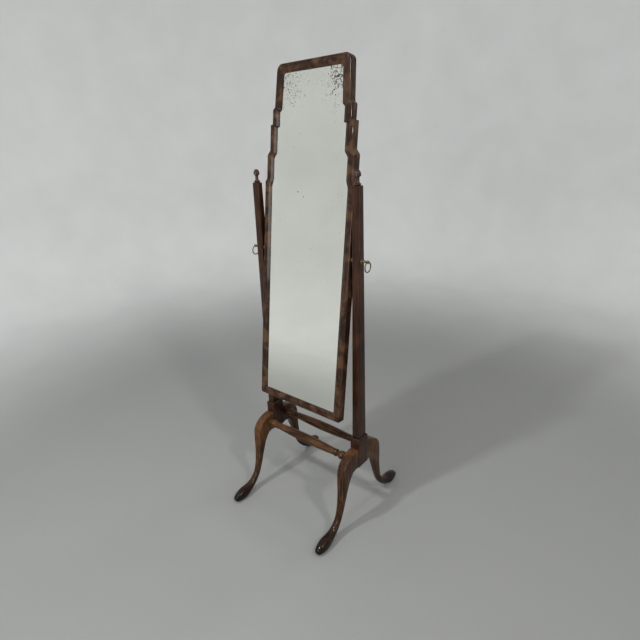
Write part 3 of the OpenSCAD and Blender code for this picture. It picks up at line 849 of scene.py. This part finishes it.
def half_stretcher():
    """Distances from the leg's face inwards, and radii."""
    peg = [(-PEG_L, PEG_R - 1), (-PEG_L + 1, PEG_R), (0, PEG_R)]
    collar = [(0, THIN_R - 0.8)] + arc((2.5, THIN_R - 2.5), 2.5, 180 - 40, 0 + 40, 8)
    gap = [(COLLAR_L, 9.6), (7.0, 9.0)]
    ball = arc((BALL_AT, 0), BALL_R, 180 - 33, 33, 18)
    hollow = [(39.6, 8.8), (41.5, 8.8), (43.6, 9.8)]
    bead = [(44.0, 11.2)] + arc((BEAD_AT, 9.4), 5.1, 160, 20, 12) + [(55.2, 11.2)]
    fillet = [(55.6, 10.6), (57.2, 10.6), (57.4, 12.6)]
    neck_r = THIN_R + 0.3
    body = []
    for i in range(SWELL_STEPS + 1):
        t = i / SWELL_STEPS
        body.append((SWELL_FROM + (LEG_FACE - SWELL_FROM) * t,
                     neck_r + (STRETCHER_R - neck_r) * math.sin(math.pi / 2 * t)))
    return peg + collar + gap + ball + hollow + bead + fillet + body


def stretcher(name, y):
    near = [(LEG_FACE - d, r) for d, r in half_stretcher()]
    far = [(-x, r) for x, r in reversed(near[:-1])]
    return turned(name, near + far, (0, y, STRETCHER_Z), (1, 0, 0))


for end, y in (("front", -STRETCHER_Y), ("back", STRETCHER_Y)):
    piece = stretcher(end + "_turned_rail", y)
    fit_piece(piece, end + "_stretcher", "stand", rail_walnut)
    print(piece.name, len(piece.data.polygons), "faces")

# %% [markdown]
# ### Finials
# Each post is capped by a small turned acorn: a base bead, a thin waist, a cup and a
# rounded nut in it. It is a few millimetres across, so the hollows between its parts
# are cut deep to read as lines. It has a spigot that is glued into the post.

# %% Finials
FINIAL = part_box("right_finial")
NUT_R = (FINIAL[1].x - FINIAL[0].x) / 2 / MM
FINIAL_H = FINIAL[1].z / MM - POST_TOP


def acorn_profile():
    """Heights above the post's top and radii."""
    waist, base_r = NUT_R * 0.46, NUT_R * 0.74
    cup_foot, cup_rim = FINIAL_H * 0.38, FINIAL_H * 0.60
    spigot = [(-SPIGOT_L, SPIGOT_D / 2), (0, SPIGOT_D / 2), (0, base_r)]
    base = arc((3.6, base_r), NUT_R - base_r, 170, 10, 10)
    cove = [(7.4, NUT_R * 0.66)]
    for t in (0.0, 0.3, 0.6, 0.9):
        cove.append((7.6 + (cup_foot - 8.6) * t, waist + NUT_R * 0.18 * (1 - t) ** 2))
    ring = arc((cup_foot - 0.4, waist), 1.1, 160, 20, 6)
    cup_low, nut_low = cup_foot + 0.8, cup_rim + 1.1
    cup, nut = [], []
    for a in (math.radians(15 * i) for i in range(1, 7)):
        cup.append((cup_low + (cup_rim - cup_low) * math.sin(a),
                    NUT_R - (NUT_R - waist) * math.cos(a)))
    quirk = [(cup_rim + 0.7, NUT_R), (nut_low, NUT_R * 0.93)]
    for a in (math.radians(7.4 * i) for i in range(1, 13)):
        nut.append((nut_low + (FINIAL_H - nut_low) * math.sin(a) ** 0.9,
                    NUT_R * 0.96 * math.cos(a) ** 0.85))
    return spigot + base + cove + ring + cup + quirk + nut + [(FINIAL_H, 0.3)]


for side, way in SIDES.items():
    foot = (way * POST_X * MM, 0, POST_TOP * MM)
    piece = turned(side + "_acorn", acorn_profile(), foot, (0, 0, 1))
    fit_piece(piece, side + "_finial", "stand", finial_walnut)
    print(piece.name, len(piece.data.polygons), "faces")

# %% [markdown]
# ### The shouldered frame
# The mirror's frame is one moulding run round an outline that steps in at four
# shoulders on each side. It is drawn as one skin: at each point of the outline a
# section of the moulding is laid between the outer edge and the sight edge, with a
# round arris, a flat face, a slope down to the glass, and two ledges behind for the
# glass and the backboard. The loop is then copied four times and each copy is cut at
# the mitres, as a joiner would cut the stiles and the rails.

# %% Outline of the frame
FRAME_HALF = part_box("right_stile")[1].x / MM
UP, DOWN = 613.0, 583.0
SHOULDERS = {"at": (243, 334, 426, 477), "outer": (14, 22, 3, 12), "sight": (34, 25, 3, 11),
             "in": (7.8, 12.8, 9.5, 8.9)}
SIGHT_DROP = 9.0
CROWN_HALF = FRAME_HALF - sum(SHOULDERS["in"]) - 6.0
FACE_W, REBATE_INSET, LEDGE_INSET = 30.0, 22.0, 14.0
CURVE_STEPS = 10
SIGHT_TOP_R, SIGHT_FOOT_R = 8.0, 1.0
OUTER_TOP_R, OUTER_FOOT_R = 22.0, 7.0


def outline(inset, drop, rises, top_r, bottom_r):
    """Points of a line round the frame, inset from its edge, from the bottom right up."""
    half, top, bottom = FRAME_HALF - inset, UP - inset, inset - DOWN
    right = arc((half - bottom_r, bottom + bottom_r), bottom_r, -90, 0, CURVE_STEPS)
    for at, rise, step in zip(SHOULDERS["at"], rises, SHOULDERS["in"]):
        for i in range(CURVE_STEPS + 1):
            t = i / CURVE_STEPS
            right.append((half - step * (1 - math.cos(math.pi * t)) / 2,
                          at - drop - rise / 2 + rise * t))
        half -= step
    right += arc((CROWN_HALF - inset - top_r, top - top_r), top_r, 0, 90, CURVE_STEPS)
    return [Vector(p) for p in right + [(-x, v) for x, v in reversed(right)]]


def sight_line(inset):
    return outline(inset, SIGHT_DROP, SHOULDERS["sight"], SIGHT_TOP_R, SIGHT_FOOT_R)


outer_line = outline(0, 0, SHOULDERS["outer"], OUTER_TOP_R, OUTER_FOOT_R)
print("outline of", len(outer_line), "points")

# %% Section of the moulding
FRAME_T = 30.5
ARRIS_R = 5.5
FLAT_TO = 18.5
SIGHT_FALL = 5.0
GLASS_FRONT = 8.25
BOARD_FRONT = -10.25
CROWN_DIP = 0.25
LIP = 1.0


def moulding_section():
    """Points of the section: its line, its inset from that line, and its depth."""
    front, back = FRAME_T / 2, -FRAME_T / 2
    section = [("outer", 1.0, back), ("outer", 0.0, back + 1.0), ("outer", 0.0, 0.0)]
    section += [("outer", ARRIS_R + x, front - ARRIS_R + w)
                for x, w in arc((0, 0), ARRIS_R, 180, 90, 7)]
    section += [("outer", x, front - CROWN_DIP * (x / FLAT_TO) ** 2) for x in (9.0, 14.0, 17.8)]
    for i in range(7):
        t = i / 6
        fall = (SIGHT_FALL - CROWN_DIP) * (t + 0.03 * math.sin(math.pi * t))
        section.append(("outer", FLAT_TO + (FACE_W - LIP - FLAT_TO) * t,
                        front - CROWN_DIP - fall))
    section += [("outer", FACE_W - 0.3, front - SIGHT_FALL - 0.3),
                ("outer", FACE_W, front - SIGHT_FALL - LIP),
                ("outer", FACE_W, GLASS_FRONT), ("rebate", 0.0, GLASS_FRONT),
                ("rebate", 0.0, BOARD_FRONT), ("ledge", 0.0, BOARD_FRONT), ("ledge", 0.0, back)]
    return section


def moulding(name):
    """The whole frame as one skin, at its place."""
    lines = {"outer": outer_line, "sight": sight_line(FACE_W),
             "rebate": sight_line(REBATE_INSET), "ledge": sight_line(LEDGE_INSET)}
    section = moulding_section()
    rings = []
    for k in [*range(len(outer_line)), 0]:
        ring = []
        for line, inset, depth in section:
            point = lines[line][k]
            if line == "outer":
                point = point.lerp(lines["sight"][k], inset / FACE_W)
            ring.append(Vector((point.x, point.y, depth)) * MM)
        rings.append(ring)
    whole = drawn_skin(name, rings, endless=True)
    whole.matrix_world = (Matrix.Translation(PIVOT) @ LEAN_BACK
                          @ Matrix.Rotation(math.pi / 2, 4, "X"))
    return settle(whole)


whole_frame = moulding("whole_frame")
print("moulding", len(whole_frame.data.polygons), "faces,",
      [round(v, 4) for v in whole_frame.dimensions])

# %% Mitres
JOINT_LINE = 0.05 * MM
MITRE_SMOOTH = 30


def to_mirror(x, v, w):
    """A place given on the mirror, across, up and out of the glass, in millimetres."""
    spot = Matrix.Rotation(math.pi / 2, 4, "X") @ Vector((x, v, w)) * MM
    return PIVOT + LEAN_BACK @ spot


def slice_off(piece, corner, across, up):
    """Keeps what lies on the side that a direction on the mirror points to."""
    normal = (to_mirror(across, up, 0) - PIVOT).normalized()
    begin_edit(piece)
    bpy.ops.mesh.bisect(plane_co=to_mirror(*corner, 0) + normal * JOINT_LINE, plane_no=normal,
                        clear_inner=True, use_fill=True)
    end_edit(piece, MITRE_SMOOTH)


def member(name, cuts):
    """A copy of the whole frame, cut down to one of its four members."""
    made = copied(whole_frame, name)
    for corner, across, up in cuts:
        slice_off(made, corner, across, up)
    return made


for side, way in SIDES.items():
    foot, head = (way * FRAME_HALF, -DOWN), (way * CROWN_HALF, UP)
    stile = member(side + "_stile_moulding", [((0, 0), way, 0), (foot, way, 1), (head, way, -1)])
    fit_piece(stile, side + "_stile", "mirror", stile_walnut)
    print(stile.name, len(stile.data.polygons), "faces")
for end, up, half, edge in (("bottom", -1, FRAME_HALF, -DOWN), ("top", 1, CROWN_HALF, UP)):
    rail = member(end + "_rail_moulding", [((half, edge), -1, up), ((-half, edge), 1, up)])
    fit_piece(rail, end + "_rail", "mirror", cross_walnut)
    print(rail.name, len(rail.data.polygons), "faces")
bpy.data.objects.remove(whole_frame)

# %% [markdown]
# ### Swing fittings
# The mirror swings on two brass screws. Each runs through a bush in the post, with a
# round flange outside like a small rose, then a spacer and a leather washer, into a
# threaded plate in the stile. The screw ends outside in an eye that carries a pull
# ring, which turns the screw to clamp the mirror at its angle. The bush, spacer and
# shank are turned, and the eye and the ring are forged loops, so they start as a torus.

# %% Bushes and spacers
BORE_D = 8.1
POST_OUT = POST_X + POST_W / 2
POST_IN = POST_X - POST_W / 2
ROSETTE_R = 10.0
ROSETTE_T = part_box("right_bush")[1].x / MM - POST_OUT
PIVOT_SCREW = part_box("right_pivot_screw")


def bored_turning(name, profile, way, length):
    """Turned work on the pivot line, pointing outwards, with the screw's bore."""
    made = turned(name, [(way * x, r) for x, r in profile], PIVOT, (1, 0, 0))
    bore(made, PIVOT + Vector((way * profile[0][0] * MM, 0, 0)), (1, 0, 0), BORE_D, 2 * length + 4)
    return made


def bush_profile():
    tube = [(POST_IN + 0.01, BUSH_D / 2), (POST_OUT, BUSH_D / 2), (POST_OUT, ROSETTE_R - 0.4)]
    rim = arc((POST_OUT + 1.0, ROSETTE_R - 1.0), 1.0, 135, 45, 6)
    rose = [(POST_OUT + 2.0, ROSETTE_R - 2.2), (POST_OUT + 1.6, ROSETTE_R - 3.0),
            (POST_OUT + 2.4, ROSETTE_R - 3.4), (POST_OUT + ROSETTE_T - 0.5, ROSETTE_R - 4.0),
            (POST_OUT + ROSETTE_T, ROSETTE_R - 4.6)]
    return tube + rim + rose


def collar_profile(node):
    low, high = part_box(node)
    x0, x1, radius = low.x / MM, high.x / MM, (high.y - low.y) / 2 / MM
    return [(x0, radius - 0.6), (x0 + 0.25, radius - 0.15), (x0 + 0.6, radius),
            (x1 - 0.6, radius), (x1 - 0.25, radius - 0.15), (x1, radius - 0.6)]


for side, way in SIDES.items():
    bush = bored_turning(side + "_bush_rose", bush_profile(), way, POST_W + ROSETTE_T)
    fit_piece(bush, side + "_bush", "stand", brass)
    spacer = bored_turning(side + "_turned_spacer", collar_profile("right_spacer"), way, 8)
    fit_piece(spacer, side + "_spacer", "stand", brass)
    print(bush.name, len(bush.data.polygons), spacer.name, len(spacer.data.polygons))

# %% Pivot screws
SHANK_R = 4.0
EYE_X = next(j["pos_m"][0] for j in frame["joints"] if j["name"] == "right_ring_swing") / MM
EYE_R = 5.98
EYE_HOLE_R = 2.7
EYE_T = 5.0
STOP_R = 7.0
STOP_AT = POST_OUT + ROSETTE_T + 0.3
TIP = PIVOT_SCREW[0].x / MM


def forged_loop(name, middle, ring_r, wire_r, turn, segments=(48, 16)):
    """A torus of wire, turned to its plane, with its place in its mesh."""
    bpy.ops.object.select_all(action="DESELECT")
    bpy.ops.mesh.primitive_torus_add(major_radius=ring_r * MM, minor_radius=wire_r * MM,
                                     major_segments=segments[0], minor_segments=segments[1],
                                     location=middle, rotation=turn)
    loop = bpy.context.object
    loop.name = name
    return settle(loop)


def screw_profile():
    """From the tip in the stile out to the eye, with a rounded stop collar."""
    thread_end = TIP + 12
    tip = [(TIP, SHANK_R - 1.0), (TIP + 1.0, SHANK_R)]
    stop = [(STOP_AT, SHANK_R), (STOP_AT, STOP_R - 0.5), (STOP_AT + 0.5, STOP_R),
            (STOP_AT + 2.0, STOP_R), (STOP_AT + 3.0, STOP_R - 1.2), (STOP_AT + 3.0, SHANK_R)]
    neck = [(EYE_X - EYE_R - 2.6, SHANK_R), (EYE_X - EYE_R - 1.6, SHANK_R - 0.8),
            (EYE_X - EYE_R - 0.2, SHANK_R - 1.4), (EYE_X - EYE_R + 1.4, SHANK_R - 2.0)]
    return tip + [(thread_end, SHANK_R)] + stop + neck


def pivot_screw(name, way):
    shank = turned(name, [(way * x, r) for x, r in screw_profile()], PIVOT, (1, 0, 0))
    wire_r = (EYE_R - EYE_HOLE_R) / 2
    eye = forged_loop("eye", PIVOT + Vector((way * EYE_X * MM, 0, 0)), EYE_R - wire_r, wire_r,
                      (math.pi / 2, 0, 0))
    begin_edit(eye)
    bpy.ops.transform.resize(value=(1, EYE_T / (2 * wire_r), 1), center_override=PIVOT)
    end_edit(eye)
    apply_modifier(shank, "BOOLEAN", operation="UNION", solver="EXACT", object=eye)
    bpy.data.objects.remove(eye)
    bpy.ops.object.shade_smooth_by_angle(angle=math.radians(SMOOTH_BELOW))
    return shank


for side, way in SIDES.items():
    screw = pivot_screw(side + "_ring_screw", way)
    fit_piece(screw, side + "_pivot_screw", side + "_screw", brass)
    print(screw.name, len(screw.data.polygons), "faces")

# %% Pull rings
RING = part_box("right_ring")
RING_WIRE_R = (RING[1].x - RING[0].x) / 2 / MM
RING_R = (RING[1].z - RING[0].z) / 2 / MM - RING_WIRE_R
WORN = 0.82


def pull_ring(name, way):
    """A ring that hangs in the eye, its wire worn thinner where it rubs there."""
    middle = Vector((way * EYE_X * MM, 0, PIVOT.z - RING_R * MM))
    ring = forged_loop(name, middle, RING_R, RING_WIRE_R, (0, math.pi / 2, 0), (72, 20))
    begin_edit(ring)
    mesh = bmesh.from_edit_mesh(ring.data)
    for vertex in mesh.verts:
        spoke = vertex.co - middle
        core = Vector((0, spoke.y, spoke.z)).normalized()
        high = max(0.0, core.z)
        core *= RING_R * MM
        vertex.co = middle + core + (spoke - core) * (1 - (1 - WORN) * high ** 6)
    return end_edit(ring)


for side, way in SIDES.items():
    ring = pull_ring(side + "_pull_ring", way)
    fit_piece(ring, side + "_ring", side + "_pull", brass)
    print(ring.name, len(ring.data.polygons), "faces")

# %% [markdown]
# ### Backboard screws
# The board at the back is held by countersunk brass screws. One is drawn with a flat
# head, a tapering neck and a plain shank, and a slot is sawn across its head. It is
# copied to every place, each copy with its slot turned to a different angle, as screws
# end up, and the copies are joined as one group.

# %% Backboard screws
SCREW_R = 1.5
SCREW_L = 13.0
SLOT = (0.9, 0.8)
SCREW_INSET = 18.0
SIDE_COUNT = 4
SLOT_TURN = 47


def half_at(k, inset):
    return FRAME_HALF - inset - sum(SHOULDERS["in"][:k])


def screw_places():
    """Places across and up the mirror, the same as the holes in the frame."""
    foot = FACE_W - DOWN
    head = SHOULDERS["at"][0] - SIGHT_DROP - SHOULDERS["sight"][0] / 2
    upper = (SHOULDERS["at"][1] + SHOULDERS["sight"][1] / 2 + SHOULDERS["at"][2]) / 2 - SIGHT_DROP
    right = [(half_at(0, SCREW_INSET), foot + (head - foot) * (i + 0.5) / SIDE_COUNT)
             for i in range(SIDE_COUNT)]
    right += [(half_at(2, SCREW_INSET), upper), (CROWN_HALF * 0.45, UP - SCREW_INSET),
              (FRAME_HALF * 0.5, SCREW_INSET - DOWN)]
    return right + [(-x, v) for x, v in right]


def slotted_screw(name):
    """One screw on the mirror's own axes, with its head at the origin."""
    profile = [(0, 2 * SCREW_R - 0.15), (0.15, 2 * SCREW_R), (0.3, 2 * SCREW_R - 0.15),
               (SCREW_R, SCREW_R), (SCREW_L - 2, SCREW_R), (SCREW_L, 0.4)]
    made = turned(name, profile, (0, 0, 0), (0, 0, 1), sides=24)
    half = Vector((3 * SCREW_R, SLOT[0] / 2, SLOT[1])) * MM
    cut_with(made, box_between("slot", -half, half))
    return made


pattern = slotted_screw("screw_pattern")
screws = []
for count, (x, v) in enumerate(screw_places()):
    copy = copied(pattern, pattern.name)
    spin = Matrix.Rotation(math.radians(SLOT_TURN * count), 4, "Z")
    copy.matrix_world = (Matrix.Translation(to_mirror(x, v, -FRAME_T / 2)) @ LEAN_BACK
                         @ Matrix.Rotation(math.pi / 2, 4, "X") @ spin)
    screws.append(settle(copy))
bpy.data.objects.remove(pattern)
back_screws = joined("slotted_back_screws", screws)
fit_piece(back_screws, "backboard_screws", "mirror", brass)
print("back screws", len(screws))

# %% [markdown]
# ## Finishes for the parts that keep their shape
# The glass, the backboard and the small fittings already have their true shapes, so
# each only gets its finish, by its material slot.

# %% Finishes by node
FINISH_OF = {
    "silvered_glass": glass, "back_plywood": plywood, "beech": beech,
    "aged_brass": brass, "washer_leather": leather, "walnut_posts": post_walnut,
    "walnut_legs": leg_walnut, "walnut_frame": stile_walnut, "dark_walnut": finial_walnut,
}
for node, piece in frame["nodes"].items():
    for slot in piece.material_slots:
        slot.material = FINISH_OF[slot.material.name.split(".")[0]]
print("nodes with a finish", len(frame["nodes"]))
